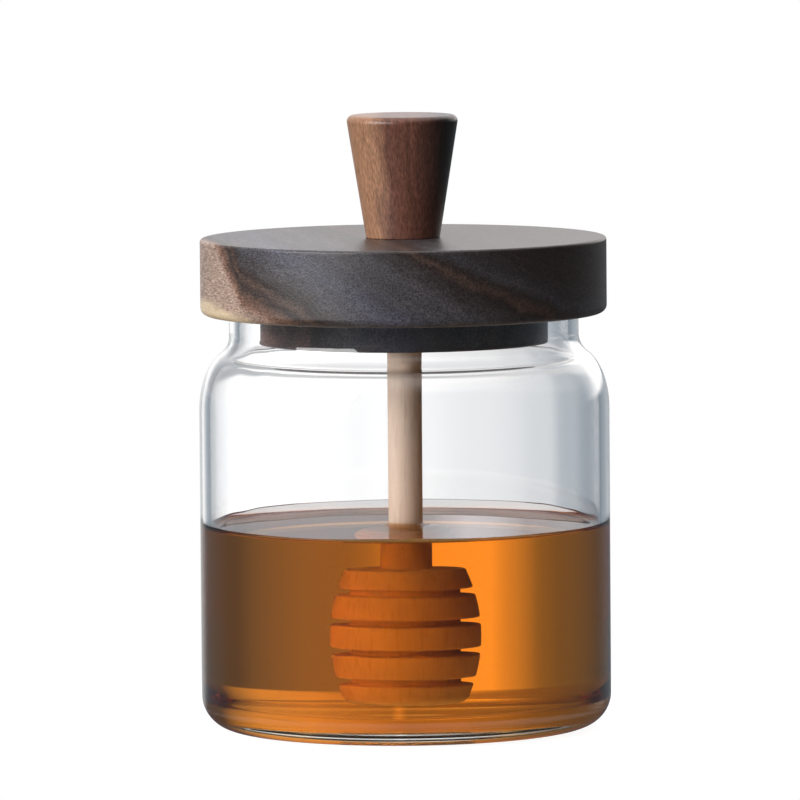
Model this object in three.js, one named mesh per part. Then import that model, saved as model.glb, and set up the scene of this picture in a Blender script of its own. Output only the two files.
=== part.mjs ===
// A glass honey jar with a turned wooden lid, a tapered knob on the lid, and a wooden dipper that hangs from
// the lid into the honey. Millimetres, +Z up, origin at the centre of the jar's underside.
// Every piece is turned about the Z axis, so each is a profile of radius against height.
import * as THREE from "three";

// Jar: clear blown glass, with a thick floor, a round heel and a curved shoulder under a straight neck
const BODY_RADIUS = 42.5;
const WALL = 2.2;
const FLOOR_THICKNESS = 3.4;
const HEEL_RADIUS = 6.9;
const INNER_HEEL_RADIUS = 2;
const SHOULDER_BOTTOM = 66.2;
const SHOULDER_WIDTH = 7.1;
const SHOULDER_HEIGHT = 12.5;
const NECK_RADIUS = 36.2;
const NECK_FILLET = 5;
const RIM_HEIGHT = 86;
const RIM_ROUND = 0.7;

// Lid: one piece of dark wood, a thick disc with a plug turned under it and a blind socket for the dipper
const LID_RADIUS = 42.1;
const LID_THICKNESS = 15.7;
const LID_TOP_ROUND = 0.6;
const LID_BOTTOM_ROUND = 1.6;
const PLUG_RADIUS = 29.8;
const PLUG_DEPTH = 6.2;
const PLUG_ROUND = 0.6;
const SOCKET_DEPTH = 9;

// Knob: a cone that widens upwards
const KNOB_BOTTOM_RADIUS = 7.7;
const KNOB_TOP_RADIUS = 11.7;
const KNOB_HEIGHT = 25.4;
const KNOB_TOP_ROUND = 1.3;
const KNOB_FOOT_ROUND = 0.3;

// Dipper: a straight stick with a barrel-shaped head, cut by evenly spaced grooves that narrow inwards
const STICK_RADIUS = 3.65;
const HEAD_RADIUS = 10.6;
const HEAD_END_DROP = 2.1;
const HEAD_BOTTOM = 6.2;
const HEAD_TOP = 34.1;
const GROOVES = 4;
const GROOVE_PITCH = 6.15;
const GROOVE_HEIGHT = 1.4;
const GROOVE_TAPER = 0.2;
const GROOVE_FLOOR_RADIUS = 7.8;
const RIDGE_CHAMFER = 0.3;
const HEAD_BOTTOM_ROUND = 2;

// Honey: fills the jar up to this height above the table, and creeps up the glass in a small collar
const HONEY_LEVEL = 41.9;
const COLLAR_HEIGHT = 1.7;
const COLLAR_WIDTH = 2.2;

// Clearance between pieces that fit round each other
const GAP = 0.3;

// Facets round each piece, and along each arc
const JAR_FACETS = 48;
const LID_FACETS = 48;
const FINE_FACETS = 32;
const ARC_STEPS = 2;
const SHOULDER_STEPS = 7;
const FILLET_STEPS = 5;

// Sizes that follow from the ones above
const INNER_RADIUS = BODY_RADIUS - WALL;
const LID_TOP = RIM_HEIGHT + LID_THICKNESS;
const PLUG_BOTTOM = RIM_HEIGHT - PLUG_DEPTH;
const SOCKET_TOP = PLUG_BOTTOM + SOCKET_DEPTH;
const HEAD_MIDDLE = (HEAD_BOTTOM + HEAD_TOP) / 2;
const QUARTER = Math.PI / 2;

// Turns a lathe's Y axis up to Z by swapping coordinates, so that heights stay exact.
const UPRIGHT = new THREE.Matrix4().set(1, 0, 0, 0, 0, 0, -1, 0, 0, 1, 0, 0, 0, 0, 0, 1);

// A closed solid turned about Z from profile points that run upwards on the outside.
function turned(points, facets) {
  return new THREE.LatheGeometry(points, facets).applyMatrix4(UPRIGHT);
}

function piece(name, geometry, color, roughness) {
  const material = new THREE.MeshStandardMaterial({ color, roughness, metalness: 0 });
  const mesh = new THREE.Mesh(geometry, material);
  mesh.name = name;
  return mesh;
}

// The shoulder's outside is a quarter ellipse about this centre.
const SHOULDER_CENTRE = new THREE.Vector2(BODY_RADIUS - SHOULDER_WIDTH, SHOULDER_BOTTOM);

// A point on the shoulder ellipse at an angle from horizontal, moved out along its normal by a distance.
function shoulderPoint(angle, distance) {
  const onEllipse = new THREE.Vector2(SHOULDER_WIDTH * Math.cos(angle), SHOULDER_HEIGHT * Math.sin(angle));
  const normal = new THREE.Vector2(Math.cos(angle) / SHOULDER_WIDTH, Math.sin(angle) / SHOULDER_HEIGHT);
  return onEllipse.add(normal.normalize().multiplyScalar(distance)).add(SHOULDER_CENTRE);
}

// The angle where the shoulder runs into the hollow fillet under the neck: there the fillet's centre,
// one fillet radius off the ellipse, also stands one fillet radius off the neck.
function shoulderTopAngle() {
  let low = 0;
  let high = QUARTER;
  for (let halving = 0; halving < 40; halving++) {
    const middle = (low + high) / 2;
    if (shoulderPoint(middle, NECK_FILLET).x > NECK_RADIUS + NECK_FILLET) low = middle;
    else high = middle;
  }
  return low;
}

// The shoulder and its fillet from the body up to the neck, moved into the glass by a depth.
function shoulder(depth) {
  const topAngle = shoulderTopAngle();
  const filletCentre = shoulderPoint(topAngle, NECK_FILLET);
  const onShoulder = shoulderPoint(topAngle, 0);
  const joinAngle = Math.atan2(onShoulder.y - filletCentre.y, onShoulder.x - filletCentre.x);
  const points = [];
  for (let step = 0; step < SHOULDER_STEPS; step++) {
    points.push(shoulderPoint((topAngle * step) / SHOULDER_STEPS, -depth));
  }
  for (let step = 0; step <= FILLET_STEPS; step++) {
    const angle = joinAngle + ((-Math.PI - joinAngle) * step) / FILLET_STEPS;
    const radius = NECK_FILLET + depth;
    points.push(
      new THREE.Vector2(filletCentre.x + radius * Math.cos(angle), filletCentre.y + radius * Math.sin(angle)),
    );
  }
  return points;
}

// The jar's inside from the floor's centre out and up to a height, drawn in from the glass by a clearance.
function insideWall(clearance, height) {
  const radius = INNER_RADIUS - clearance;
  const heel = new THREE.Path();
  heel.moveTo(0, FLOOR_THICKNESS);
  heel.lineTo(radius - INNER_HEEL_RADIUS, FLOOR_THICKNESS);
  heel.absarc(
    radius - INNER_HEEL_RADIUS, FLOOR_THICKNESS + INNER_HEEL_RADIUS, INNER_HEEL_RADIUS, -QUARTER, 0, false,
  );
  heel.lineTo(radius, height);
  return heel.getPoints(ARC_STEPS);
}

function jar() {
  const outside = new THREE.Path();
  outside.moveTo(0, 0);
  outside.lineTo(BODY_RADIUS - HEEL_RADIUS, 0);
  outside.absarc(BODY_RADIUS - HEEL_RADIUS, HEEL_RADIUS, HEEL_RADIUS, -QUARTER, 0, false);
  const rim = new THREE.Path();
  rim.absarc(NECK_RADIUS - RIM_ROUND, RIM_HEIGHT - RIM_ROUND, RIM_ROUND, 0, QUARTER, false);
  rim.absarc(NECK_RADIUS - WALL + RIM_ROUND, RIM_HEIGHT - RIM_ROUND, RIM_ROUND, QUARTER, 2 * QUARTER, false);
  const inside = [...insideWall(0, SHOULDER_BOTTOM).slice(0, -1), ...shoulder(WALL)];
  const profile = [
    ...outside.getPoints(ARC_STEPS), ...shoulder(0), ...rim.getPoints(ARC_STEPS), ...inside.reverse(),
  ];
  return piece("jar", turned(profile, JAR_FACETS), 0xe8eef0, 0.05);
}

function lid() {
  const outline = new THREE.Path();
  outline.moveTo(0, SOCKET_TOP);
  outline.lineTo(STICK_RADIUS + GAP, SOCKET_TOP);
  outline.lineTo(STICK_RADIUS + GAP, PLUG_BOTTOM);
  outline.absarc(PLUG_RADIUS - PLUG_ROUND, PLUG_BOTTOM + PLUG_ROUND, PLUG_ROUND, -QUARTER, 0, false);
  outline.lineTo(PLUG_RADIUS, RIM_HEIGHT);
  outline.absarc(
    LID_RADIUS - LID_BOTTOM_ROUND, RIM_HEIGHT + LID_BOTTOM_ROUND, LID_BOTTOM_ROUND, -QUARTER, 0, false,
  );
  outline.absarc(LID_RADIUS - LID_TOP_ROUND, LID_TOP - LID_TOP_ROUND, LID_TOP_ROUND, 0, QUARTER, false);
  outline.lineTo(0, LID_TOP);
  return piece("lid", turned(outline.getPoints(ARC_STEPS), LID_FACETS), 0x3a2d28, 0.55);
}

function knob() {
  const top = LID_TOP + KNOB_HEIGHT;
  const taper = (KNOB_TOP_RADIUS - KNOB_BOTTOM_RADIUS) / KNOB_HEIGHT;
  const lean = Math.atan(taper);
  // The round's centre lies one radius under the top and one radius inside the leaning flank.
  const roundHeight = top - KNOB_TOP_ROUND;
  const flankRadius = KNOB_BOTTOM_RADIUS + taper * (roundHeight - LID_TOP);
  const roundRadius = flankRadius - KNOB_TOP_ROUND / Math.cos(lean);
  const outline = new THREE.Path();
  outline.moveTo(0, LID_TOP);
  outline.lineTo(KNOB_BOTTOM_RADIUS - KNOB_FOOT_ROUND, LID_TOP);
  outline.lineTo(KNOB_BOTTOM_RADIUS, LID_TOP + KNOB_FOOT_ROUND);
  outline.absarc(roundRadius, roundHeight, KNOB_TOP_ROUND, -lean, QUARTER, false);
  outline.lineTo(0, top);
  return piece("knob", turned(outline.getPoints(ARC_STEPS), FINE_FACETS), 0x7a4a33, 0.45);
}

// The radius of the head's barrel at a height: a parabola, widest half way up.
function barrel(height) {
  const share = (2 * (height - HEAD_MIDDLE)) / (HEAD_TOP - HEAD_BOTTOM);
  return HEAD_RADIUS - HEAD_END_DROP * share * share;
}

// The dipper's outline from the middle of its head's underside up to a height on the stick, grown by a
// clearance. Each ridge has chamfered edges, and each groove narrows towards its floor.
function dipperOutline(clearance, stickTop) {
  const outline = new THREE.Path();
  const bottom = HEAD_BOTTOM - clearance;
  const bottomRadius = barrel(HEAD_BOTTOM + HEAD_BOTTOM_ROUND) + clearance;
  outline.moveTo(0, bottom);
  outline.lineTo(bottomRadius - HEAD_BOTTOM_ROUND, bottom);
  outline.absarc(
    bottomRadius - HEAD_BOTTOM_ROUND, bottom + HEAD_BOTTOM_ROUND, HEAD_BOTTOM_ROUND, -QUARTER, 0, false,
  );
  for (let groove = 0; groove < GROOVES; groove++) {
    const middle = HEAD_MIDDLE + (groove - (GROOVES - 1) / 2) * GROOVE_PITCH;
    const low = middle - GROOVE_HEIGHT / 2 + clearance;
    const high = middle + GROOVE_HEIGHT / 2 - clearance;
    outline.lineTo(barrel(low) + clearance, low - RIDGE_CHAMFER);
    outline.lineTo(barrel(low) + clearance - RIDGE_CHAMFER, low);
    outline.lineTo(GROOVE_FLOOR_RADIUS + clearance, low + GROOVE_TAPER);
    outline.lineTo(GROOVE_FLOOR_RADIUS + clearance, high - GROOVE_TAPER);
    outline.lineTo(barrel(high) + clearance - RIDGE_CHAMFER, high);
    outline.lineTo(barrel(high) + clearance, high + RIDGE_CHAMFER);
    const nextMiddle = Math.min(middle + GROOVE_PITCH / 2, (high + HEAD_TOP) / 2);
    outline.lineTo(barrel(nextMiddle) + clearance, nextMiddle);
  }
  const top = HEAD_TOP + clearance;
  outline.lineTo(barrel(HEAD_TOP) + clearance, top - RIDGE_CHAMFER);
  outline.lineTo(barrel(HEAD_TOP) + clearance - RIDGE_CHAMFER, top);
  outline.lineTo(STICK_RADIUS + clearance, top);
  outline.lineTo(STICK_RADIUS + clearance, stickTop);
  return outline.getPoints(ARC_STEPS);
}

function dipper() {
  const outline = [...dipperOutline(0, SOCKET_TOP), new THREE.Vector2(0, SOCKET_TOP)];
  return piece("dipper", turned(outline, FINE_FACETS), 0xd8c0a8, 0.6);
}

// Where the honey creeps up the glass: a hollow quarter ellipse from the wall down to the level surface.
function collar() {
  const radius = INNER_RADIUS - GAP;
  const curve = new THREE.EllipseCurve(
    radius - COLLAR_WIDTH, HONEY_LEVEL + COLLAR_HEIGHT, COLLAR_WIDTH, COLLAR_HEIGHT, 0, -QUARTER, true,
  );
  return curve.getPoints(ARC_STEPS);
}

function honey() {
  const outline = [
    ...insideWall(GAP, HONEY_LEVEL).slice(0, -1), ...collar(), ...dipperOutline(GAP, HONEY_LEVEL).reverse(),
  ];
  return piece("honey", turned(outline, FINE_FACETS), 0xd98018, 0.1);
}

const honeyJar = new THREE.Group();
honeyJar.add(jar(), honey(), dipper(), lid(), knob());

export default honeyJar;
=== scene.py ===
"""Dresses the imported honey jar: blown glass, honey, two turned woods and a small white studio."""

import math

import bpy
import numpy as np
from bpy.props import FloatProperty, FloatVectorProperty, IntProperty, PointerProperty
from bpy.types import NodeSocket, Operator, Panel, PropertyGroup
from mathutils import Euler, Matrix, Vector


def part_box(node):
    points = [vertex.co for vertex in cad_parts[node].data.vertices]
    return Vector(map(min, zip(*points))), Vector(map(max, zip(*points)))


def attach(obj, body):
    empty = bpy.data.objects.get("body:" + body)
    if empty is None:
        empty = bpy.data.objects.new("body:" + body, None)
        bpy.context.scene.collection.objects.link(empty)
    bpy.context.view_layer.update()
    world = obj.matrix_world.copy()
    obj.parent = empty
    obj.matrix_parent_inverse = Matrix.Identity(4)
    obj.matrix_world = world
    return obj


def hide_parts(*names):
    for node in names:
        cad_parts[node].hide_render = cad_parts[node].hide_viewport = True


bl_info = {
    "name": "Honey Jar",
    "version": (1, 0, 0),
    "blender": (4, 5, 0),
    "location": "3D View > Sidebar > Honey Jar",
    "description": "Builds a glass honey jar with a wooden lid and dipper around its packed frame",
    "category": "Add Mesh",
}

MM = 0.001
SAME_POINT = 1e-8
COLLAR = 1.7 * MM
WOOD_IOR = 1.5
BODY = "root"

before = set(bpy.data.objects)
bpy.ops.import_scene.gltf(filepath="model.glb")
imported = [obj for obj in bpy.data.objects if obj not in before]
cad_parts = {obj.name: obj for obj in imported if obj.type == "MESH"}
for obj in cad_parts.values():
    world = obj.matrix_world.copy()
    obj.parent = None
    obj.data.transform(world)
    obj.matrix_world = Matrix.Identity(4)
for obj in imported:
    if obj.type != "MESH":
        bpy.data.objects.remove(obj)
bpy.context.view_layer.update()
JAR_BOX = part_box("jar")
LID_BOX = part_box("lid")
KNOB_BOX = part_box("knob")
DIPPER_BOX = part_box("dipper")
HONEY_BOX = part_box("honey")


def linear(code):
    """Turns an sRGB hex colour such as "#C08040" into linear red, green and blue."""
    share = np.array([int(code[place:place + 2], 16) for place in (1, 3, 5)]) / 255
    return tuple(np.where(share <= 0.04045, share / 12.92, ((share + 0.055) / 1.055) ** 2.4).tolist())


WHITE = (*linear("#FFFFFF"), 1)


def length(name, description, default):
    """A size in metres that a user may change."""
    return FloatProperty(name=name, description=description, default=default, unit="LENGTH", precision=5)


def colour(name, description, code):
    """A colour that a user may change, given as sRGB hex."""
    return FloatVectorProperty(name=name, description=description, default=linear(code), subtype="COLOR",
                               size=3, min=0, max=1)


def portion(name, description, default):
    """A share from 0 to 1 that a user may change."""
    return FloatProperty(name=name, description=description, default=default, min=0, max=1, subtype="FACTOR")


def number(name, description, default):
    """A number from 0 up that a user may change."""
    return FloatProperty(name=name, description=description, default=default, min=0)


def tilt(name, description, degrees):
    """An angle that a user may change, given in degrees."""
    return FloatProperty(name=name, description=description, default=math.radians(degrees), subtype="ANGLE")


class JarSizes(PropertyGroup):
    """The blown glass"""

    radius: length("Radius", "Outside radius of the body", JAR_BOX[1].x)
    rim: length("Rim height", "Height of the rim that carries the lid", JAR_BOX[1].z)
    wall: length("Wall", "Thickness of the glass wall", 2.2 * MM)
    floor: length("Floor", "Thickness of the glass floor", 3.55 * MM)
    heel: length("Heel", "Radius of the round outside edge at the foot", 6.9 * MM)
    inner_heel: length("Inner heel", "Radius of the round inside edge at the floor", 2 * MM)
    shoulder_bottom: length("Shoulder bottom", "Height where the body starts to curve in", 66.2 * MM)
    shoulder_width: length("Shoulder width", "Half width of the shoulder's ellipse", 7.1 * MM)
    shoulder_height: length("Shoulder height", "Half height of the shoulder's ellipse", 12.5 * MM)
    neck: length("Neck", "Outside radius of the neck", 36.2 * MM)
    neck_fillet: length("Neck fillet", "Radius of the hollow between shoulder and neck", 5 * MM)
    rim_round: length("Rim round", "Radius of the fire-polished rim edges", 0.5 * MM)
    draw_lines: length("Draw lines", "Depth of the faint upright waves in blown glass", 0.01 * MM)


class HoneySizes(PropertyGroup):
    """The honey"""

    level: length("Level", "Height of the flat surface", HONEY_BOX[1].z - COLLAR)
    collar: length("Collar", "How far the honey creeps up the glass", COLLAR)
    collar_width: length("Collar width", "How far in from the glass the creep fades to a third", 0.65 * MM)
    stick_share: portion("Stick share", "Height of the creep up the stick, as a share of the glass's", 0.4)
    front: portion("Front share", "Height of the creep at the front, as a share of the back's", 0.53)
    unevenness: portion("Unevenness", "How much the creep differs round the glass, as a share", 0.08)
    into: length("Overlap", "How far it reaches into glass and wood, so that no air gap shows", 0.12 * MM)
    bubbles: IntProperty(name="Bubbles", description="Number of small air bubbles",
                         default=28, min=0, max=200)
    colour: colour("Colour", "What white light turns to in the honey", "#FCDE73")
    density: number("Density", "Strength of the colour per metre", 70)


class LidSizes(PropertyGroup):
    """The lid and its knob"""

    radius: length("Radius", "Radius of the disc", LID_BOX[1].x)
    bottom: length("Bottom", "Height of the disc's underside", JAR_BOX[1].z)
    top: length("Top", "Height of the disc's upper face", LID_BOX[1].z)
    bottom_round: length("Bottom round", "Radius of the disc's lower edge", 1.6 * MM)
    top_round: length("Top round", "Radius of the disc's upper edge", 0.6 * MM)
    plug: length("Plug radius", "Radius of the plug under the disc", 29.8 * MM)
    plug_bottom: length("Plug bottom", "Height of the plug's underside", LID_BOX[0].z)
    plug_round: length("Plug round", "Radius of the plug's lower edge", 0.6 * MM)
    socket: length("Socket radius", "Radius of the hole that takes the stick", 3.95 * MM)
    socket_top: length("Socket top", "Height of the end of that hole", DIPPER_BOX[1].z)
    knob_foot: length("Knob foot", "Radius of the knob where it stands on the lid", 7.7 * MM)
    knob_foot_round: length("Knob foot round", "Radius of the knob's lower edge", 0.3 * MM)
    knob_head: length("Knob head", "Radius of the knob's cone at its top", 11.7 * MM)
    knob_top: length("Knob top", "Height of the knob's upper face", KNOB_BOX[1].z)
    knob_round: length("Knob round", "Radius of the knob's upper edge", 1.3 * MM)
    sap: colour("Sapwood", "The pale wood at the edge of the log", "#D8C2A4")
    # Rim wood is a real band next to the sapwood, and its colour also paints the lid's left edge as painted
    # rim light.
    rim: colour("Rim wood", "The light brown wood next to the sapwood", "#A48D80")
    edge: colour("Edge wood", "The brown wood inside that", "#765A4D")
    heart: colour("Heartwood", "The charcoal body of the wood", "#464346")
    slate: colour("Slate wood", "The bluish layers in the heartwood", "#4D4B56")
    core: colour("Core wood", "The brown-black wood nearest the log's middle", "#352D2B")
    vein: colour("Vein", "The thin reddish veins", "#503F38")
    knob_gold: colour("Knob gold", "The knob's golden side", "#A97D60")
    knob_red: colour("Knob red", "The knob's red-brown middle", "#754C3F")
    # The knob's dark side is painted shade, on the side away from the light at the left.
    knob_painted_shade: colour("Knob dark", "The knob's dark side", "#251D1B")


class DipperSizes(PropertyGroup):
    """The dipper"""

    stick: length("Stick radius", "Radius of the stick", 3.65 * MM)
    head: length("Head radius", "Radius of the head half way up", DIPPER_BOX[1].x)
    end_drop: length("End drop", "How much narrower the head is at its ends", 2.1 * MM)
    bottom: length("Bottom", "Height of the head's underside", DIPPER_BOX[0].z)
    head_top: length("Head top", "Height of the head's upper face", 34.1 * MM)
    stick_top: length("Stick top", "Height of the stick's end in the lid", DIPPER_BOX[1].z)
    grooves: IntProperty(name="Grooves", description="Number of grooves in the head",
                         default=4, min=1, max=9)
    pitch: length("Groove pitch", "Distance from groove to groove", 6.15 * MM)
    groove: length("Groove", "Height of a groove at its mouth", 1.4 * MM)
    taper: length("Groove taper", "How much a groove's sides close in", 0.2 * MM)
    groove_floor: length("Groove floor", "Radius at the bottom of a groove", 7.8 * MM)
    edge_round: length("Edge round", "Radius of the ridges' edges", 0.3 * MM)
    bottom_round: length("Bottom round", "Radius of the head's lower edge", 2 * MM)
    wood: colour("Wood", "The pale wood", "#EBD6C3")
    fleck: colour("Fleck", "The small darker flecks", "#DDC6B1")


class StageSizes(PropertyGroup):
    """Floor, light and camera"""

    floor_radius: length("Floor", "Radius where the floor has faded out", 0.13)
    lens: number("Lens", "Focal length of the camera in millimetres", 456)
    pitch: tilt("Pitch", "How far the camera looks down", 4.8)
    roll: tilt("Roll", "How far the camera leans", 0.45)
    pixel: length("Pixel", "Size of one photograph pixel at the jar's axis", 0.2073 * MM)
    axis_pixel: number("Axis pixel", "Image column of the jar's axis", 404.3)
    base_pixel: number("Base pixel", "Image row of the middle of the base", 726.4)
    key: FloatProperty(name="Key", description="Power of the soft light at the front left",
                       default=8.8, subtype="POWER")
    key_inside: number("Key inside", "Strength of that light behind glass, as a factor", 2.2)
    key_width: length("Key width", "Width of that light", 0.75)
    key_height: length("Key height", "Height of that light", 0.5)
    key_turn: tilt("Key turn", "How far it stands round to the left of the front", 53)
    key_rise: tilt("Key rise", "How far it stands over the table, seen from the jar", 18)
    key_away: length("Key distance", "How far it stands from the jar", 0.95)
    key_aim: length("Key aim", "Height on the jar's axis that it faces", 0.07)
    table_light: number("Table light", "Light from under the jar on wood behind glass", 2.8)
    foot_shade: number("Foot shade", "Brightness of the floor under the jar, through the glass", 0.3)
    backdrop: number("Backdrop", "Brightness of the lit wall behind", 1)


class HoneyJarSizes(PropertyGroup):
    """Everything a user would change"""

    jar: PointerProperty(type=JarSizes)
    honey: PointerProperty(type=HoneySizes)
    lid: PointerProperty(type=LidSizes)
    dipper: PointerProperty(type=DipperSizes)
    stage: PointerProperty(type=StageSizes)


def straight(start, end, count=9):
    """Points on a line, closer together near both ends: a half cosine of even steps."""
    share = (1 - np.cos(np.linspace(0, math.pi, count))) / 2
    return np.outer(1 - share, start) + np.outer(share, end)


def arc(centre, radius, start, end, count=13):
    """Points on a circle, or on an ellipse where radius is a pair, between two angles in degrees."""
    angle = np.radians(np.linspace(start, end, count))
    return np.asarray(centre) + np.stack((np.cos(angle), np.sin(angle)), 1) * radius


def joined(*runs):
    """One profile made of runs of points, without the doubled points where a run starts on another's end."""
    points = np.concatenate(runs)
    step = np.linalg.norm(np.diff(points, axis=0), axis=1)
    return points[np.concatenate(([True], step > SAME_POINT))]


def turned(profile, count):
    """A profile of radius and height carried round the Z axis: in each row, its point at count angles."""
    angle = np.linspace(0, 2 * math.pi, count, endpoint=False)
    radius, height = profile[:, :1], profile[:, 1:]
    return np.stack((radius * np.cos(angle), radius * np.sin(angle), height + 0 * angle), 2)


def surface(name, grids, material):
    """One mesh of grids of points whose columns close into rings. A row at one point becomes a pole."""
    triangles, quads, start = [], [], 0
    for grid in grids:
        rows, columns = grid.shape[:2]
        index = start + np.arange(rows * columns).reshape(rows, columns)
        pole = np.ptp(grid, axis=1).max(axis=1) < SAME_POINT
        index[pole] = index[pole, :1]
        near, far = index[:-1], index[1:]
        corners = np.stack((near, np.roll(near, -1, 1), np.roll(far, -1, 1), far), 2)
        triangles += [corners[pole[:-1]][..., [0, 2, 3]].reshape(-1, 3),
                      corners[pole[1:]][..., [0, 1, 2]].reshape(-1, 3)]
        quads.append(corners[~(pole[:-1] | pole[1:])].reshape(-1, 4))
        start += rows * columns
    triangles, quads = np.concatenate(triangles), np.concatenate(quads)
    points = np.concatenate([grid.reshape(-1, 3) for grid in grids])
    used, renumbered = np.unique(np.concatenate((triangles.ravel(), quads.ravel())), return_inverse=True)
    mesh = bpy.data.meshes.new(name)
    mesh.from_pydata(points[used], [], renumbered[:triangles.size].reshape(-1, 3).tolist()
                     + renumbered[triangles.size:].reshape(-1, 4).tolist())
    mesh.polygons.foreach_set("use_smooth", np.ones(len(mesh.polygons), bool))
    mesh.materials.append(material)
    mesh.update()
    piece = bpy.data.objects.new(name, mesh)
    bpy.context.scene.collection.objects.link(piece)
    return piece


def waves(count, lobes, seed):
    """A sum of sines round the circle, one for each number of lobes, with seeded phases: about -1 to 1."""
    angle = np.linspace(0, 2 * math.pi, count, endpoint=False)
    phase = np.random.default_rng(seed).uniform(0, 2 * math.pi, (len(lobes), 1))
    return np.sin(np.array(lobes)[:, None] * angle + phase).sum(axis=0) / math.sqrt(len(lobes))


def bubbles(honey, jar):
    """Grids of small spheres of air in the honey, with faces towards their middles, as honey is outside.

    Two of three lie close under the surface, where bubbles gather, and the rest at any depth. All lie near
    the glass."""
    draw = np.random.default_rng(8)
    count = honey.bubbles
    # The power makes more of the bubbles small, with radii of 0.04 to 0.23 mm.
    size = draw.uniform(0.12, 0.38, count) ** 1.5 * MM
    turn = draw.uniform(0, 2 * math.pi, count)
    close_under = draw.uniform(0.8, 2.5, count) * MM
    anywhere = draw.uniform(3, 32, count) * MM
    deep = np.where(np.arange(count) % 3 < 2, close_under, anywhere)
    from_glass = draw.uniform(0.2, 2.5, count) * MM
    away = jar.radius - jar.wall - size - from_glass
    middles = np.stack((away * np.cos(turn), away * np.sin(turn), honey.level - deep), 1)
    ball = turned(arc((0, 0), 1, 90, -90, 9), 14)
    ball[[0, -1], :, :2] = 0
    return [middle + radius * ball for middle, radius in zip(middles, size)]


def stand_for(piece, node):
    """Lets a finished piece ride on the jar's body and stand for a CAD node, whose part it hides."""
    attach(piece, BODY)
    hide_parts(node)


def shoulder(jar, depth):
    """The shoulder from body to neck, moved into the glass along its normal.

    The shoulder is part of a quarter ellipse. Over it a hollow circle arc touches both the ellipse and the
    straight neck: its centre lies one fillet radius off each."""
    size = np.array((jar.shoulder_width, jar.shoulder_height))
    centre = np.array((jar.radius - jar.shoulder_width, jar.shoulder_bottom))

    def moved(angle, distance):
        """Points on the ellipse at its angles, moved out along the normal."""
        circle = np.stack((np.cos(angle), np.sin(angle)), -1)
        normal = circle / size
        normal /= np.linalg.norm(normal, axis=-1, keepdims=True)
        return centre + circle * size + distance * normal

    angle = np.linspace(0, math.pi / 2, 2000)
    reach = moved(angle, jar.neck_fillet)[:, 0]
    top = np.interp(-jar.neck - jar.neck_fillet, -reach, angle)
    fillet = moved(top, jar.neck_fillet)
    leave = moved(top, 0) - fillet
    turn = math.degrees(math.atan2(leave[1], leave[0]))
    return joined(moved(np.linspace(0, top, 33), -depth),
                  arc(fillet, jar.neck_fillet + depth, turn, -180, 17))


def inside_wall(jar, into, height):
    """The jar's inside from the middle of the floor out, round the heel and up, moved into the glass."""
    radius = jar.radius - jar.wall
    corner = radius - jar.inner_heel
    return joined(straight((0, jar.floor - into), (corner, jar.floor - into), 13),
                  arc((corner, jar.floor + jar.inner_heel), jar.inner_heel + into, -90, 0, 25),
                  straight((radius + into, jar.floor + jar.inner_heel), (radius + into, height), 17))


def dipper_outline(dipper, into, top):
    """The dipper's outline from the middle of its underside up to a height on the stick, set into the wood.

    The head is a barrel, a parabola of radius over height, cut by grooves whose sides close in."""
    middle = (dipper.bottom + dipper.head_top) / 2
    half = (dipper.head_top - dipper.bottom) / 2
    edge = dipper.edge_round
    end_edge = 2 * edge

    def barrel(height):
        """The head's radius at a height."""
        return dipper.head - into - dipper.end_drop * ((height - middle) / half) ** 2

    def flank(low, high):
        """The barrel's side between two heights."""
        height = np.linspace(low, high, 9)
        return np.stack((barrel(height), height), 1)

    low = dipper.bottom + into
    corner = barrel(low + dipper.bottom_round) - dipper.bottom_round
    runs = [straight((0, low), (corner, low), 9),
            arc((corner, low + dipper.bottom_round), dipper.bottom_round, -90, 0, 13)]
    ridge_start = low + dipper.bottom_round
    for groove in range(dipper.grooves):
        at = middle + (groove - (dipper.grooves - 1) / 2) * dipper.pitch
        under = at - dipper.groove / 2 - into
        over = at + dipper.groove / 2 + into
        floor = dipper.groove_floor - into
        runs += [flank(ridge_start, under - edge),
                 arc((barrel(under - edge) - edge, under - edge), edge, 0, 90, 7),
                 straight((barrel(under - edge) - edge, under), (floor, under + dipper.taper), 5),
                 straight((floor, under + dipper.taper), (floor, over - dipper.taper), 4),
                 straight((floor, over - dipper.taper), (barrel(over + edge) - edge, over), 5),
                 arc((barrel(over + edge) - edge, over + edge), edge, -90, 0, 7)]
        ridge_start = over + edge
    end = dipper.head_top - into
    end_corner = barrel(end - end_edge) - end_edge
    runs += [flank(ridge_start, end - end_edge),
             arc((end_corner, end - end_edge), end_edge, 0, 90, 9),
             straight((end_corner, end), (dipper.stick - into, end), 7),
             straight((dipper.stick - into, end), (dipper.stick - into, top), 17)]
    return joined(*runs)


def add(tree, kind, inputs=None, stops=None, **settings):
    """Adds one node with its settings. An input given as a socket is linked, and any other is set."""
    node = tree.nodes.new(kind)
    for setting, value in settings.items():
        setattr(node, setting, value)
    for place, (position, shade) in enumerate(stops or ()):
        elements = node.color_ramp.elements
        stop = elements[place] if place < 2 else elements.new(position)
        stop.position = position
        stop.color = (*shade, 1) if len(shade) == 3 else shade
    for socket, value in (inputs or {}).items():
        if isinstance(value, NodeSocket):
            tree.links.new(value, node.inputs[socket])
        else:
            node.inputs[socket].default_value = value
    return node


def new_material(name):
    """A material with an empty tree and its output node."""
    material = bpy.data.materials.new(name)
    material.use_nodes = True
    material.node_tree.nodes.clear()
    return material, material.node_tree, add(material.node_tree, "ShaderNodeOutputMaterial")


def glass_material():
    """Clear blown glass, fire polished: no colour of its own, hard reflections, grey edges.

    Its index is a little over the honey's, so the floor of the jar carries light across under the honey and
    shows as a white line at the foot."""
    material, tree, output = new_material("clear_blown_glass")
    shader = add(tree, "ShaderNodeBsdfPrincipled",
                 {"Base Color": WHITE, "Roughness": 0.0, "IOR": 1.58, "Transmission Weight": 1.0})
    tree.links.new(shader.outputs["BSDF"], output.inputs["Surface"])
    return material


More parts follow.
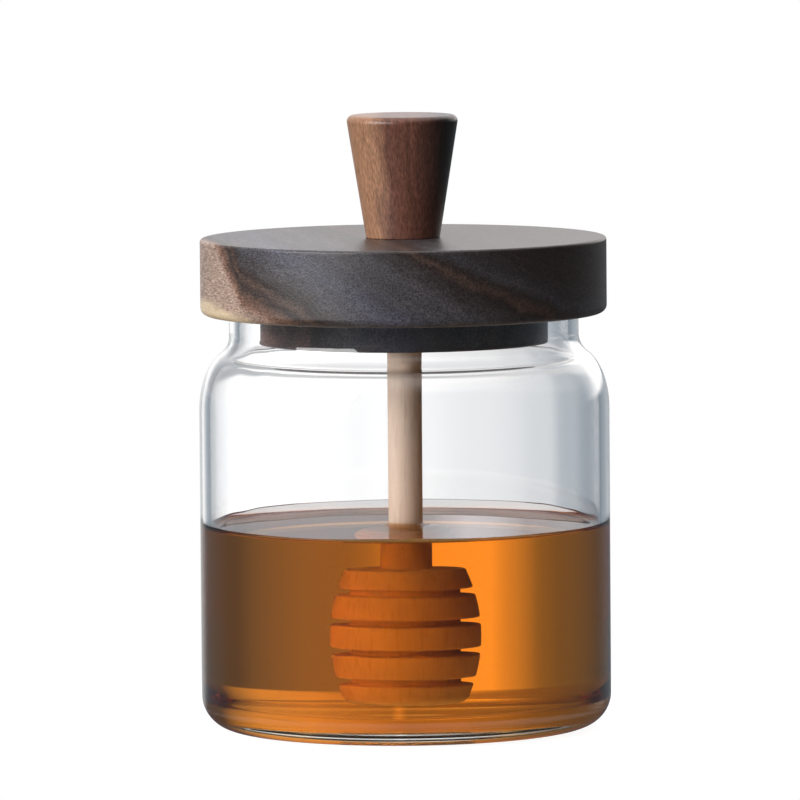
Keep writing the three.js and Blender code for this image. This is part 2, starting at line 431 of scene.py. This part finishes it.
def honey_material(honey):
    """Acacia honey: clear, wet and glossy. It takes blue and then green out of light that goes through."""
    material, tree, output = new_material("acacia_honey")
    shader = add(tree, "ShaderNodeBsdfPrincipled",
                 {"Base Color": WHITE, "Roughness": 0.0, "IOR": 1.47, "Transmission Weight": 1.0})
    depth = add(tree, "ShaderNodeVolumeAbsorption",
                {"Color": (*honey.colour, 1), "Density": honey.density})
    tree.links.new(shader.outputs["BSDF"], output.inputs["Surface"])
    tree.links.new(depth.outputs["Volume"], output.inputs["Volume"])
    return material


def in_mm(tree, lean=(0, 0, 0)):
    """Places on a piece in millimetres, turned about its axes, so that patterns have real sizes."""
    place = add(tree, "ShaderNodeTexCoord").outputs["Object"]
    return add(tree, "ShaderNodeMapping",
               {"Vector": place, "Rotation": lean, "Scale": (1 / MM,) * 3}).outputs[0]


def grain(tree, vector, per_mm, detail, roughness=0.5):
    """Wood grain: noise over places in millimetres, with its own count of grains per mm along each axis."""
    scaled = add(tree, "ShaderNodeMapping", {"Vector": vector, "Scale": per_mm})
    return add(tree, "ShaderNodeTexNoise",
               {"Vector": scaled.outputs[0], "Scale": 1.0, "Detail": detail, "Roughness": roughness},
               ).outputs["Fac"]


def oiled_wood(tree, output, layers, stops, patches, fibre, speckle, roughness):
    """Turned and oiled wood: bands of colour over the layers of the log, broken by patches, with fine pores.

    layers is a distance across the growth layers in millimetres, and stops gives the colours along it.
    patches is grain that follows the layers, and fibre is grain that follows the fibres. speckle is how dark
    and how pale the fibre makes the wood."""
    low, high = stops[0][0], stops[-1][0]
    share = add(tree, "ShaderNodeMapRange", {"Value": layers, "From Min": low, "From Max": high})
    # A new ramp already has two stops, so the two ends come first.
    ends_first = (stops[0], stops[-1], *stops[1:-1])
    body = add(tree, "ShaderNodeValToRGB", {"Fac": share.outputs[0]},
               stops=[((place - low) / (high - low), shade) for place, shade in ends_first])
    mottle = add(tree, "ShaderNodeMapRange",
                 {"Value": patches, "From Min": 0.3, "From Max": 0.7, "To Min": 0.68, "To Max": 1.26})
    dark, pale = speckle
    pores = add(tree, "ShaderNodeMapRange",
                {"Value": fibre, "From Min": 0.36, "From Max": 0.76, "To Min": dark, "To Max": pale})
    shade = add(tree, "ShaderNodeMath", {0: mottle.outputs[0], 1: pores.outputs[0]}, operation="MULTIPLY")
    # In pale wood the pores and patches hardly show.
    grey = add(tree, "ShaderNodeRGBToBW", {0: body.outputs[0]})
    ease = {"From Min": 0.2, "From Max": 0.5, "To Min": 1.0, "To Max": 0.2}
    strength = add(tree, "ShaderNodeMapRange", {"Value": grey.outputs[0], **ease})
    tone = add(tree, "ShaderNodeMix", {0: strength.outputs[0], 2: 1.0, 3: shade.outputs[0]})
    toned = add(tree, "ShaderNodeVectorMath", {0: body.outputs[0], "Scale": tone.outputs[0]},
                operation="SCALE")
    uneven = add(tree, "ShaderNodeMath", {0: patches, 1: 3.0, 2: fibre}, operation="MULTIPLY_ADD")
    bump = add(tree, "ShaderNodeBump",
               {"Height": uneven.outputs[0], "Strength": 0.2, "Distance": 0.15 * MM})
    shader = add(tree, "ShaderNodeBsdfPrincipled",
                 {"Base Color": toned.outputs[0], "Roughness": roughness, "IOR": WOOD_IOR,
                  "Normal": bump.outputs[0]})
    tree.links.new(shader.outputs["BSDF"], output.inputs["Surface"])


def lid_material(lid):
    """Oiled acacia heartwood, turned from a plank whose end grain looks forward: charcoal with fine pores.

    The growth layers are wide arcs round the log's middle, far off to the upper right, and fall to the
    right. The outermost layer, a corner at the lower left, is cream sapwood with a brown edge. Up the
    disc's left edge runs a strip of painted rim light."""
    material, tree, output = new_material("oiled_acacia")
    plank_turn = math.radians(-11)
    log_x, log_z = 75, 235
    bark = 190.5
    mm = in_mm(tree, (0, 0, plank_turn))
    # Under the disc the layers run straight down, so the plug keeps the brown of the disc's lower edge.
    parts = add(tree, "ShaderNodeSeparateXYZ", {0: mm}).outputs
    level = add(tree, "ShaderNodeMath", {0: parts["Z"], 1: lid.bottom / MM}, operation="MAXIMUM").outputs[0]
    section = add(tree, "ShaderNodeCombineXYZ", {0: parts["X"], 2: level}).outputs[0]
    across = add(tree, "ShaderNodeMapping", {"Vector": section, "Location": (-log_x, 0, -log_z)})
    radius = add(tree, "ShaderNodeVectorMath", {0: across.outputs[0]}, operation="LENGTH").outputs["Value"]
    # A slow wave and a finer one move the layers by a few millimetres, so that no band has an even edge.
    slow = grain(tree, mm, (0.06, 0.01, 0.06), 1.0)
    fine = grain(tree, mm, (0.25, 0.04, 0.25), 4.0, 0.7)
    waved = add(tree, "ShaderNodeMath", {0: slow, 1: 4.0, 2: radius}, operation="MULTIPLY_ADD").outputs[0]
    grown = add(tree, "ShaderNodeMath", {0: fine, 1: 4.0, 2: waved}, operation="MULTIPLY_ADD").outputs[0]
    # Along the plank's left edge a paler strip runs over the whole height: painted rim light from the left,
    # made by pushing the layers out to the light brown rim wood.
    strip_of_light = add(tree, "ShaderNodeMapRange",
                {"Value": parts["X"], "From Min": -37.5, "From Max": -42.0, "To Max": 9.0})
    with_painted_rim_light = add(tree, "ShaderNodeMath", {0: grown, 1: strip_of_light.outputs[0]}, operation="ADD").outputs[0]
    rim_wood = bark - 1.4
    painted_rim_light_capped = add(tree, "ShaderNodeMath", {0: with_painted_rim_light, 1: rim_wood}, operation="MINIMUM").outputs[0]
    layers = add(tree, "ShaderNodeMath", {0: grown, 1: painted_rim_light_capped}, operation="MAXIMUM").outputs[0]
    ring = add(tree, "ShaderNodeCombineXYZ", {0: layers, 1: slow}).outputs[0]
    patches = grain(tree, ring, (0.35, 4.0, 1), 4.0, 0.65)
    fibre = grain(tree, mm, (3.2, 0.3, 3.2), 2.0, 0.65)
    stops = ((bark - 50, lid.core), (bark - 38, lid.core), (bark - 33, lid.heart), (bark - 31, lid.core),
             (bark - 29.8, lid.vein), (bark - 28.4, lid.core), (bark - 24, lid.heart),
             (bark - 20, lid.heart), (bark - 16, lid.slate), (bark - 12, lid.heart), (bark - 9, lid.core),
             (bark - 7.8, lid.vein), (bark - 6.4, lid.core), (bark - 3.4, lid.edge), (rim_wood, lid.rim),
             (bark, lid.sap), (bark + 4, lid.sap))
    oiled_wood(tree, output, layers, stops, patches, fibre, speckle=(0.55, 2.1), roughness=0.36)
    return material


def knob_material(lid):
    """Oiled acacia with upright grain, finely sanded: a golden side, a red-brown middle and painted shade on
    the right.
    """
    material, tree, output = new_material("oiled_acacia_upright")
    lean = math.radians(4)
    mm = in_mm(tree, (0, lean, 0))
    across = add(tree, "ShaderNodeSeparateXYZ", {0: mm}).outputs["X"]
    wander = grain(tree, mm, (0.3, 0.3, 0.04), 3.0, 0.6)
    layers = add(tree, "ShaderNodeMath", {0: wander, 1: 6.0, 2: across},
                 operation="MULTIPLY_ADD").outputs[0]
    # The lean moves the axis aside at the knob's height, and the grain moves the layers on by about 3 mm.
    middle = math.sin(lean) * (lid.top + lid.knob_top) / 2 / MM + 3
    ring = add(tree, "ShaderNodeCombineXYZ", {0: layers, 1: wander}).outputs[0]
    patches = grain(tree, ring, (0.9, 2.0, 1), 4.0, 0.7)
    fibre = grain(tree, mm, (3.4, 3.4, 0.6), 3.0, 0.65)
    # Across the knob from left to right: the golden side, the red-brown middle, then painted shade away from
    # the light.
    stops = ((middle - 12, lid.knob_gold), (middle - 6.5, lid.knob_gold), (middle - 2.5, lid.knob_red),
             (middle + 3.5, lid.knob_red), (middle + 9, lid.knob_painted_shade), (middle + 12, lid.knob_painted_shade))
    oiled_wood(tree, output, layers, stops, patches, fibre, speckle=(0.62, 1.55), roughness=0.32)
    return material


def dipper_material(dipper):
    """Beech, turned and sanded, left raw: pale and dull, with faint darker flecks along the stick."""
    material, tree, output = new_material("raw_beech")
    flecks = grain(tree, in_mm(tree), (1.6, 1.6, 0.16), 3.0, 0.6)
    body = add(tree, "ShaderNodeValToRGB", {"Fac": flecks},
               stops=((0.28, dipper.fleck), (0.5, dipper.wood)))
    shader = add(tree, "ShaderNodeBsdfPrincipled",
                 {"Base Color": body.outputs[0], "Roughness": 0.8, "IOR": WOOD_IOR,
                  "Specular IOR Level": 0.1})
    tree.links.new(shader.outputs["BSDF"], output.inputs["Surface"])
    return material


def floor_material(jar, stage):
    """Matt white card, lit through from below, that fades out round the jar into the plain white ground.

    Through the glass only the card under the foot is met, and past it the plain ground. There it is in shade
    to the eye, but it glows for wood behind glass. What it gives to any wood is a little orange."""
    material, tree, output = new_material("white_card")
    fade_from = 0.45 * stage.floor_radius
    open_power = 1.25
    glow_share = 0.75
    amber = (1.12, 0.9, 0.5, 1)
    place = add(tree, "ShaderNodeTexCoord").outputs["Object"]
    away = add(tree, "ShaderNodeVectorMath", {0: place}, operation="LENGTH").outputs["Value"]
    path = add(tree, "ShaderNodeLightPath").outputs
    through_glass = path["Is Transmission Ray"]
    to_wood = add(tree, "ShaderNodeMath", {0: path["Diffuse Depth"], 1: 1.0}, operation="MINIMUM").outputs[0]
    open_ground = add(tree, "ShaderNodeMapRange",
                      {"Value": away, "From Min": fade_from, "From Max": stage.floor_radius},
                      interpolation_type="SMOOTHSTEP").outputs[0]
    beside_foot = add(tree, "ShaderNodeMath", {0: away, 1: jar.radius}, operation="GREATER_THAN").outputs[0]
    fade = add(tree, "ShaderNodeMix", {0: through_glass, 2: open_ground, 3: beside_foot}).outputs[0]
    inside = add(tree, "ShaderNodeMapRange",
                 {"Value": to_wood, "To Min": stage.foot_shade, "To Max": stage.table_light}).outputs[0]
    power = add(tree, "ShaderNodeMix", {0: through_glass, 2: open_power, 3: inside}).outputs[0]
    tint = add(tree, "ShaderNodeMix", {0: to_wood, 6: WHITE, 7: amber}, data_type="RGBA").outputs[2]
    card = add(tree, "ShaderNodeBsdfDiffuse", {"Color": (*linear("#F3F3F3"), 1)})
    glow = add(tree, "ShaderNodeEmission", {"Color": tint, "Strength": power})
    lit = add(tree, "ShaderNodeMixShader", {0: glow_share, 1: card.outputs[0], 2: glow.outputs[0]})
    clear = add(tree, "ShaderNodeBsdfTransparent")
    both = add(tree, "ShaderNodeMixShader", {0: fade, 1: lit.outputs[0], 2: clear.outputs[0]})
    tree.links.new(both.outputs[0], output.inputs["Surface"])
    return material


class HONEYJAR_OT_jar(Operator):
    """Blows the glass: an even wall with a round heel, a curved shoulder and a straight neck"""

    bl_idname = "honeyjar.jar"
    bl_label = "Glass jar"

    def execute(self, context):
        jar = context.scene.honey_jar.jar
        heel = jar.radius - jar.heel
        neck_in = jar.neck - jar.wall
        lip = jar.rim - jar.rim_round
        outer = shoulder(jar, 0)
        inner = joined(inside_wall(jar, 0, jar.shoulder_bottom), shoulder(jar, jar.wall))
        profile = joined(straight((0, 0), (heel, 0), 13),
                         arc((heel, jar.heel), jar.heel, -90, 0, 33),
                         straight((jar.radius, jar.heel), (jar.radius, jar.shoulder_bottom), 25),
                         outer,
                         straight(outer[-1], (jar.neck, lip), 9),
                         arc((jar.neck - jar.rim_round, lip), jar.rim_round, 0, 90, 11),
                         arc((neck_in + jar.rim_round, lip), jar.rim_round, 90, 180, 11),
                         straight((neck_in, lip), inner[-1], 9),
                         inner[::-1])
        count = 320
        grid = turned(profile, count)
        # The draw lines are upright waves, not the same outside as inside, as a share of the radius.
        is_inside = np.arange(len(profile)) >= len(profile) - len(inner)
        ripple_in = waves(count, (5, 9, 14, 23), 2)
        ripple_out = waves(count, (4, 11, 19, 31), 3)
        ripple = np.where(is_inside[:, None], ripple_in, ripple_out)
        grid[..., :2] *= 1 + jar.draw_lines / jar.radius * ripple[..., None]
        piece = surface("jar_glass", [grid], glass_material())
        stand_for(piece, "jar")
        return {"FINISHED"}


class HONEYJAR_OT_honey(Operator):
    """Fills in the honey, with a collar where it creeps up glass and stick, and small bubbles left in it"""

    bl_idname = "honeyjar.honey"
    bl_label = "Honey"

    def execute(self, context):
        honey = context.scene.honey_jar.honey
        jar = context.scene.honey_jar.jar
        dipper = context.scene.honey_jar.dipper
        wall = jar.radius - jar.wall
        flat_from = dipper.stick + 3 * MM
        flat_to = wall - 6 * honey.collar_width
        radius = joined(straight((wall + honey.into, 0), (flat_to, 0), 41),
                        straight((flat_to, 0), (flat_from, 0), 17),
                        straight((flat_from, 0), (dipper.stick - honey.into, 0), 17))[:, 0]
        # The surface is level, and rises towards glass and stick by an exponential of the distance.
        creep = honey.collar * np.exp(-np.abs(wall - radius) / honey.collar_width)
        at_stick = np.exp(-np.abs(radius - dipper.stick) / honey.collar_width)
        rise = creep + honey.stick_share * honey.collar * at_stick
        top = np.stack((radius, honey.level + rise), 1)
        sides = inside_wall(jar, honey.into, top[0, 1])
        profile = joined(sides, top, dipper_outline(dipper, honey.into, top[-1, 1])[::-1])
        grid = turned(profile, 256)
        # Round the glass the creep falls from back to front, a raised sine, and is a little uneven. A high
        # power of the height carries that to the top of the sides alone.
        lift = np.zeros(len(profile))
        lift[:len(sides)] = honey.collar * (sides[:, 1] / sides[-1, 1]) ** 40
        lift[len(sides) - 1:len(sides) - 1 + len(top)] = creep
        back = (1 + np.sin(np.linspace(0, 2 * math.pi, grid.shape[1], endpoint=False))) / 2
        share = (1 - honey.front) * (back - 1) + honey.unevenness * waves(grid.shape[1], (2, 3, 5, 8), 5)
        grid[..., 2] += lift[:, None] * share
        piece = surface("honey_fill", [grid, *bubbles(honey, jar)], honey_material(honey))
        stand_for(piece, "honey")
        return {"FINISHED"}


class HONEYJAR_OT_lid(Operator):
    """Turns the lid: a thick disc and its plug from one plank, with the blind hole for the stick"""

    bl_idname = "honeyjar.lid"
    bl_label = "Lid"

    def execute(self, context):
        lid = context.scene.honey_jar.lid
        plug_edge = lid.plug - lid.plug_round
        low_edge = lid.radius - lid.bottom_round
        top_edge = lid.radius - lid.top_round
        profile = joined(straight((0, lid.socket_top), (lid.socket, lid.socket_top), 5),
                         straight((lid.socket, lid.socket_top), (lid.socket, lid.plug_bottom), 7),
                         straight((lid.socket, lid.plug_bottom), (plug_edge, lid.plug_bottom), 13),
                         arc((plug_edge, lid.plug_bottom + lid.plug_round), lid.plug_round, -90, 0, 9),
                         straight((lid.plug, lid.plug_bottom + lid.plug_round), (lid.plug, lid.bottom), 9),
                         straight((lid.plug, lid.bottom), (low_edge, lid.bottom), 9),
                         arc((low_edge, lid.bottom + lid.bottom_round), lid.bottom_round, -90, 0, 15),
                         straight((lid.radius, lid.bottom + lid.bottom_round),
                                  (lid.radius, lid.top - lid.top_round), 17),
                         arc((top_edge, lid.top - lid.top_round), lid.top_round, 0, 90, 9),
                         straight((top_edge, lid.top), (0, lid.top), 25))
        piece = surface("lid_wood", [turned(profile, 256)], lid_material(lid))
        stand_for(piece, "lid")
        return {"FINISHED"}


class HONEYJAR_OT_knob(Operator):
    """Turns the knob: a cone that widens upwards, with a rounded upper edge"""

    bl_idname = "honeyjar.knob"
    bl_label = "Knob"

    def execute(self, context):
        lid = context.scene.honey_jar.lid
        lean = math.atan((lid.knob_head - lid.knob_foot) / (lid.knob_top - lid.top))
        height = lid.knob_top - lid.knob_round
        flank = lid.knob_foot + math.tan(lean) * (height - lid.top)
        centre = np.array((flank - lid.knob_round / math.cos(lean), height))
        foot_round = lid.knob_foot_round
        edge = arc(centre, lid.knob_round, -math.degrees(lean), 90, 17)
        profile = joined(straight((0, lid.top), (lid.knob_foot - foot_round, lid.top), 7),
                         arc((lid.knob_foot - foot_round, lid.top + foot_round), foot_round, -90, 0, 7),
                         straight((lid.knob_foot, lid.top + foot_round), edge[0], 25),
                         edge,
                         straight(edge[-1], (0, lid.knob_top), 13))
        piece = surface("knob_wood", [turned(profile, 128)], knob_material(lid))
        stand_for(piece, "knob")
        return {"FINISHED"}


class HONEYJAR_OT_dipper(Operator):
    """Turns the dipper: a straight stick and a barrel head with grooves"""

    bl_idname = "honeyjar.dipper"
    bl_label = "Dipper"

    def execute(self, context):
        dipper = context.scene.honey_jar.dipper
        outline = dipper_outline(dipper, 0, dipper.stick_top)
        profile = joined(outline, straight(outline[-1], (0, dipper.stick_top), 5))
        piece = surface("dipper_wood", [turned(profile, 128)], dipper_material(dipper))
        stand_for(piece, "dipper")
        return {"FINISHED"}


class HONEYJAR_OT_stage(Operator):
    """Sets up the white floor, the lit wall and soft light, and a camera at the photograph's angle"""

    bl_idname = "honeyjar.stage"
    bl_label = "Stage"

    def execute(self, context):
        stage = context.scene.honey_jar.stage
        scene = context.scene
        scene.view_settings.view_transform = "Standard"
        # Light that runs across the jar's floor is reflected many times before it comes out.
        scene.cycles.max_bounces = 40
        scene.cycles.glossy_bounces = 24
        scene.cycles.transmission_bounces = 40
        # The card is a flat disc just under the jar's foot, from its edge in.
        under_foot = -0.2 * MM
        radius = np.linspace(stage.floor_radius, 0, 33)
        disc = np.stack((radius, np.full_like(radius, under_foot)), 1)
        floor = surface("floor_card", [turned(disc, 96)], floor_material(scene.honey_jar.jar, stage))
        floor.visible_glossy = False
        self.light_world(scene, stage)
        self.light_key(scene, stage)
        self.aim_camera(scene, stage)
        return {"FINISHED"}

    def light_world(self, scene, stage):
        """White to the eye. To glass, honey and wood it is a lit wall behind that falls off to both sides.

        Each ramp goes round by the compass: 0.5 is right, 0.75 straight behind, 0 and 1 left, 0.25 in front.
        One holds at the height of the table's edge and one over it. Under it all sides are alike."""
        world = bpy.data.worlds.new("studio")
        scene.world = world
        world.use_nodes = True
        tree = world.node_tree
        tree.nodes.clear()
        way = add(tree, "ShaderNodeTexCoord").outputs["Generated"]
        turn = add(tree, "ShaderNodeTexGradient", {"Vector": way}, gradient_type="RADIAL").outputs["Fac"]
        height = add(tree, "ShaderNodeSeparateXYZ", {0: way}).outputs["Z"]
        path = add(tree, "ShaderNodeLightPath").outputs
        through_glass = path["Is Transmission Ray"]

        def ramp(cool, *stops):
            """A ramp of greys, bluer where they are darker by the given share."""
            shades = []
            for place, value in stops:
                red = value * min(1, 1 - cool + cool * value)
                blue = value * max(1, 1 + cool - cool * value)
                shades.append((place, (red, value, blue)))
            return add(tree, "ShaderNodeValToRGB", {"Fac": turn}, stops=shades).outputs[0]

        def blend(low, high, below, above):
            """One colour up to a height and another from a height on, with a smooth change between."""
            share = add(tree, "ShaderNodeMapRange", {"Value": height, "From Min": low, "From Max": high},
                        interpolation_type="SMOOTHSTEP").outputs[0]
            return add(tree, "ShaderNodeMix", {0: share, 6: below, 7: above}, data_type="RGBA").outputs[2]

        def in_mirror(shade, tint):
            """A colour that is tinted where it shines back off glass, honey or wood."""
            return add(tree, "ShaderNodeMix", {0: path["Is Reflection Ray"], 6: shade, 7: (*tint, 1)},
                       data_type="RGBA", blend_type="MULTIPLY").outputs[2]

        table = ramp(0.2, (0.0, 0.17), (1.0, 0.17), (0.10, 0.14), (0.25, 0.06), (0.50, 0.09), (0.634, 0.17),
                     (0.655, 0.28), (0.70, 0.46), (0.722, 0.49), (0.733, 0.62), (0.743, 0.90), (0.755, 1.3),
                     (0.765, 1.5), (0.793, 1.5), (0.802, 1.08), (0.826, 0.44), (0.845, 0.31), (0.917, 0.15))
        wall = ramp(0.1, (0.0, 0.2), (1.0, 0.2), (0.10, 0.12), (0.25, 0.03), (0.50, 0.03), (0.60, 0.12),
                    (0.63, 0.6), (0.66, 1.0), (0.70, 1.05), (0.73, 0.83), (0.75, 0.60), (0.775, 0.62),
                    (0.80, 0.5), (0.82, 0.34), (0.86, 0.22), (0.90, 0.18))
        # A brighter upright strip of the wall shows only after a reflection, as in the honey's surface.
        dark, light = (0, 0, 0), (0.5, 0.48, 0.5)
        strip_of_light = add(tree, "ShaderNodeValToRGB", {"Fac": turn},
                    stops=((0.7432, dark), (0.7478, dark), (0.744, light), (0.7472, light)))
        folded = add(tree, "ShaderNodeMath", {0: path["Glossy Depth"], 1: 1.0}, operation="MINIMUM")
        bright = add(tree, "ShaderNodeMix", {0: folded.outputs[0], 6: wall, 7: strip_of_light.outputs[0]},
                     data_type="RGBA", blend_type="ADD").outputs[2]
        wall = blend(0.065, 0.075, wall, bright)
        # What the eye meets through the glass and what shines back off wood and glass are lit apart: in
        # reflections the table's edge is darker and the wall over it brighter.
        sides = blend(0.0, 0.05, in_mirror(table, (0.4, 0.4, 0.4)), in_mirror(wall, (1.72, 1.62, 1.58)))
        ceiling = (1.3, 1.26, 1.23, 1)
        around = blend(0.5, 0.85, sides, ceiling)
        # From under the table light comes to the eye through glass and honey, half of it after a reflection
        # in them, and little comes to wood.
        to_eye = add(tree, "ShaderNodeMath", {0: through_glass, 1: path["Diffuse Depth"]},
                     operation="SUBTRACT", use_clamp=True).outputs[0]
        half = add(tree, "ShaderNodeMath", {0: path["Glossy Depth"], 1: 0.5}, operation="MINIMUM")
        from_below = add(tree, "ShaderNodeMath", {0: to_eye, 1: half.outputs[0]},
                         operation="SUBTRACT", use_clamp=True)
        dim, pale = (0.1, 0.1, 0.1, 1), (0.9, 0.9, 0.92, 1)
        under = add(tree, "ShaderNodeMix", {0: from_below.outputs[0], 6: dim, 7: pale},
                    data_type="RGBA").outputs[2]
        full = blend(-0.22, -0.12, under, around)
        # Wood behind glass has the lamp and the card for its light, and gets little from the world.
        to_wood = add(tree, "ShaderNodeMath", {0: through_glass, 1: to_eye}, operation="SUBTRACT")
        eased = add(tree, "ShaderNodeMix", {0: to_wood.outputs[0], 6: full, 7: (0.22, 0.22, 0.22, 1)},
                    data_type="RGBA", blend_type="MULTIPLY").outputs[2]
        soft = add(tree, "ShaderNodeBackground", {"Color": eased, "Strength": stage.backdrop})
        white = add(tree, "ShaderNodeBackground", {"Color": WHITE, "Strength": 1.0})
        both = add(tree, "ShaderNodeMixShader",
                   {0: path["Is Camera Ray"], 1: soft.outputs[0], 2: white.outputs[0]})
        output = add(tree, "ShaderNodeOutputWorld")
        tree.links.new(both.outputs[0], output.inputs["Surface"])

    def light_key(self, scene, stage):
        """One large soft light at the front left, over the table.

        It lights the wood through the glass, but the eye does not meet it through glass and honey."""
        lamp = bpy.data.lights.new("key_softbox", "AREA")
        lamp.shape = "RECTANGLE"
        lamp.size = stage.key_width
        lamp.size_y = stage.key_height
        lamp.energy = stage.key
        lamp.use_nodes = True
        tree = lamp.node_tree
        tree.nodes.clear()
        path = add(tree, "ShaderNodeLightPath").outputs
        faces = path["Transmission Depth"]
        behind_glass = add(tree, "ShaderNodeMath", {0: faces, 1: 1.0}, operation="MINIMUM")
        to_wood = add(tree, "ShaderNodeMath", {0: path["Diffuse Depth"], 1: 1.0}, operation="MINIMUM")
        # Light that is mirrored on its way counts less, so lit wood does not glare in glass and honey.
        mirrored = add(tree, "ShaderNodeMapRange",
                       {"Value": path["Glossy Depth"], "To Min": stage.key_inside,
                        "To Max": 0.3 * stage.key_inside})
        inside = add(tree, "ShaderNodeMath", {0: to_wood.outputs[0], 1: mirrored.outputs[0]},
                     operation="MULTIPLY")
        power = add(tree, "ShaderNodeMix", {0: behind_glass.outputs[0], 2: 1.0, 3: inside.outputs[0]})
        # Wood in air is lit through four faces of glass, and wood in the honey through six of glass and
        # honey. There the light is more orange, as honey scatters a little.
        in_honey = add(tree, "ShaderNodeMapRange", {"Value": faces, "From Min": 4.0, "From Max": 6.0})
        amber = (1.4, 1.02, 0.55, 1)
        tint = add(tree, "ShaderNodeMix", {0: in_honey.outputs[0], 6: WHITE, 7: amber}, data_type="RGBA")
        glow = add(tree, "ShaderNodeEmission", {"Color": tint.outputs[2], "Strength": power.outputs[0]})
        output = add(tree, "ShaderNodeOutputLight")
        tree.links.new(glow.outputs[0], output.inputs["Surface"])
        holder = bpy.data.objects.new("key_softbox", lamp)
        scene.collection.objects.link(holder)
        level = math.cos(stage.key_rise)
        way = Vector((-math.sin(stage.key_turn) * level, -math.cos(stage.key_turn) * level,
                      math.sin(stage.key_rise)))
        holder.location = Vector((0, 0, stage.key_aim)) + stage.key_away * way
        holder.rotation_euler = way.to_track_quat("Z", "Y").to_euler()
        holder.visible_camera = False

    def aim_camera(self, scene, stage):
        """Stands the camera back along its pitch, so that a pixel has the given size at the jar's axis."""
        width = 800
        camera = bpy.data.cameras.new("photo_camera")
        camera.sensor_width = 36
        camera.lens = stage.lens
        distance = stage.pixel * width * camera.lens / camera.sensor_width
        holder = bpy.data.objects.new("photo_camera", camera)
        scene.collection.objects.link(holder)
        middle = width / 2
        height = (stage.base_pixel - middle) * stage.pixel / math.cos(stage.pitch)
        aim = Vector(((middle - stage.axis_pixel) * stage.pixel, 0, height))
        back = Vector((0, -math.cos(stage.pitch), math.sin(stage.pitch)))
        holder.location = aim + distance * back
        look = back.to_track_quat("Z", "Y")
        holder.rotation_euler = (look @ Euler((0, 0, -stage.roll)).to_quaternion()).to_euler()
        camera.clip_start = 0.1
        camera.clip_end = 50
        scene.camera = holder


class HONEYJAR_PT_panel(Panel):
    """Lists the pieces and the sizes of each"""

    bl_label = "Honey Jar"
    bl_idname = "HONEYJAR_PT_panel"
    bl_space_type = "VIEW_3D"
    bl_region_type = "UI"
    bl_category = "Honey Jar"

    def draw(self, context):
        for operator in OPERATORS:
            self.layout.operator(operator.bl_idname)
        for group in HoneyJarSizes.__annotations__:
            box = self.layout.box()
            box.label(text=group.capitalize())
            settings = getattr(context.scene.honey_jar, group)
            for name in type(settings).__annotations__:
                box.prop(settings, name)


OPERATORS = (HONEYJAR_OT_jar, HONEYJAR_OT_honey, HONEYJAR_OT_dipper, HONEYJAR_OT_lid, HONEYJAR_OT_knob,
             HONEYJAR_OT_stage)
GROUPS = (JarSizes, HoneySizes, LidSizes, DipperSizes, StageSizes, HoneyJarSizes)
CLASSES = (*GROUPS, *OPERATORS, HONEYJAR_PT_panel)


def register():
    for kind in CLASSES:
        bpy.utils.register_class(kind)
    bpy.types.Scene.honey_jar = PointerProperty(type=HoneyJarSizes)


def unregister():
    del bpy.types.Scene.honey_jar
    for kind in reversed(CLASSES):
        bpy.utils.unregister_class(kind)


def main():
    """Builds every piece and the stage."""
    register()
    bpy.ops.honeyjar.jar()
    bpy.ops.honeyjar.honey()
    bpy.ops.honeyjar.dipper()
    bpy.ops.honeyjar.lid()
    bpy.ops.honeyjar.knob()
    bpy.ops.honeyjar.stage()


if __name__ == "__main__":
    main()
